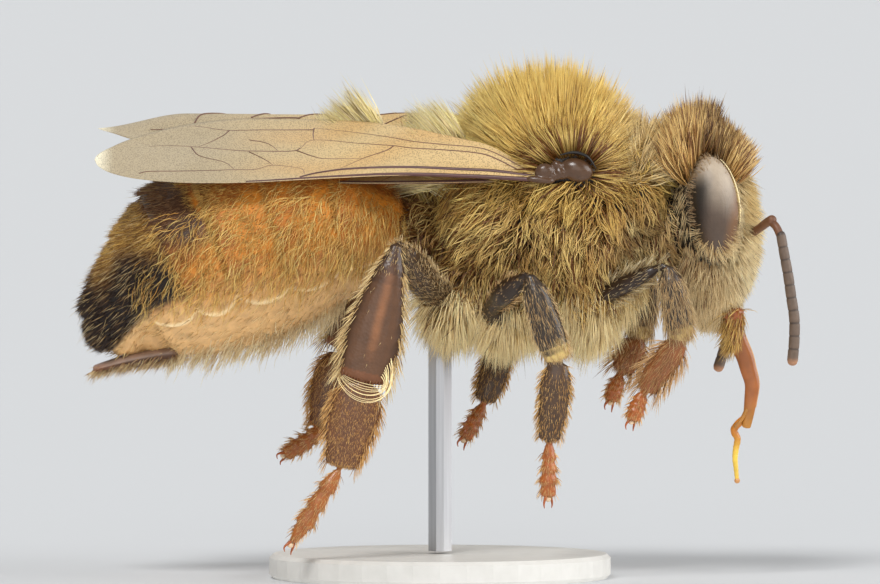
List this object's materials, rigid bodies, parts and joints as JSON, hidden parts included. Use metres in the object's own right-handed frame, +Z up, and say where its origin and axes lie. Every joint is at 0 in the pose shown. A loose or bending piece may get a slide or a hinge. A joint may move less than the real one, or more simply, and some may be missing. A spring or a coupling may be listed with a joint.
{
  "type": "honey bee",
  "caption": "Still, life-size worker honey bee with folded wings, hanging legs, bent feelers and an extended tongue, held up by a plain display stand.",
  "frame": {"origin": "centre of the underside of the stand's base, below the bee's waist", "axes": "+X towards the bee's head, +Y towards its left side, +Z up; the bee's right side faces -Y"},
  "size_m": [0.0149, 0.007, 0.0106],
  "materials": {
    "coat": "dense pale gold and cream hair over dark shell",
    "amber_rings": "amber shell under a thin coat of golden hair",
    "black_rings": "black shell with bands of pale hair",
    "dark_shell": "dark brown satin shell with fine hair",
    "foot": "orange-brown satin shell with bristles",
    "eye": "grey-brown faceted, edged with fine hair",
    "jaw": "orange-brown, smooth, with golden bristles",
    "tongue": "amber, glossy and slightly clear",
    "feeler": "grey-brown, ringed, finely downy",
    "wing": "thin pale tan membrane with brown veins",
    "stand_base": "pale satin paint",
    "stand_rod": "fine brushed steel"
  },
  "bodies": {
    "root": {"thorax": "coat", "neck": "coat", "head": "coat", "waist": "dark_shell", "abdomen_1": "amber_rings", "abdomen_2": "amber_rings", "abdomen_3": "amber_rings", "abdomen_4": "black_rings", "abdomen_5": "black_rings", "abdomen_6": "black_rings", "eye_right": "eye", "mandible_right": "jaw", "feeler_stalk_right": "dark_shell", "feeler_right": "feeler", "tegula_right": "dark_shell", "forewing_right": "wing", "hindwing_right": "wing", "eye_left": "eye", "mandible_left": "jaw", "feeler_stalk_left": "dark_shell", "feeler_left": "feeler", "tegula_left": "dark_shell", "forewing_left": "wing", "hindwing_left": "wing", "tongue_sheath": "tongue", "tongue": "tongue", "leg_fore_right_femur": "dark_shell", "leg_fore_right_tibia": "dark_shell", "leg_fore_right_basitarsus": "dark_shell", "leg_fore_right_tarsus": "foot", "leg_fore_left_femur": "dark_shell", "leg_fore_left_tibia": "dark_shell", "leg_fore_left_basitarsus": "dark_shell", "leg_fore_left_tarsus": "foot", "leg_mid_right_femur": "dark_shell", "leg_mid_right_tibia": "dark_shell", "leg_mid_right_basitarsus": "dark_shell", "leg_mid_right_tarsus": "foot", "leg_mid_left_femur": "dark_shell", "leg_mid_left_tibia": "dark_shell", "leg_mid_left_basitarsus": "dark_shell", "leg_mid_left_tarsus": "foot", "leg_hind_right_femur": "dark_shell", "leg_hind_right_tibia": "dark_shell", "leg_hind_right_basitarsus": "dark_shell", "leg_hind_right_tarsus": "foot", "leg_hind_left_femur": "dark_shell", "leg_hind_left_tibia": "dark_shell", "leg_hind_left_basitarsus": "dark_shell", "leg_hind_left_tarsus": "foot", "stand_base": "stand_base", "stand_rod": "stand_rod"}
  },
  "joints": []
}
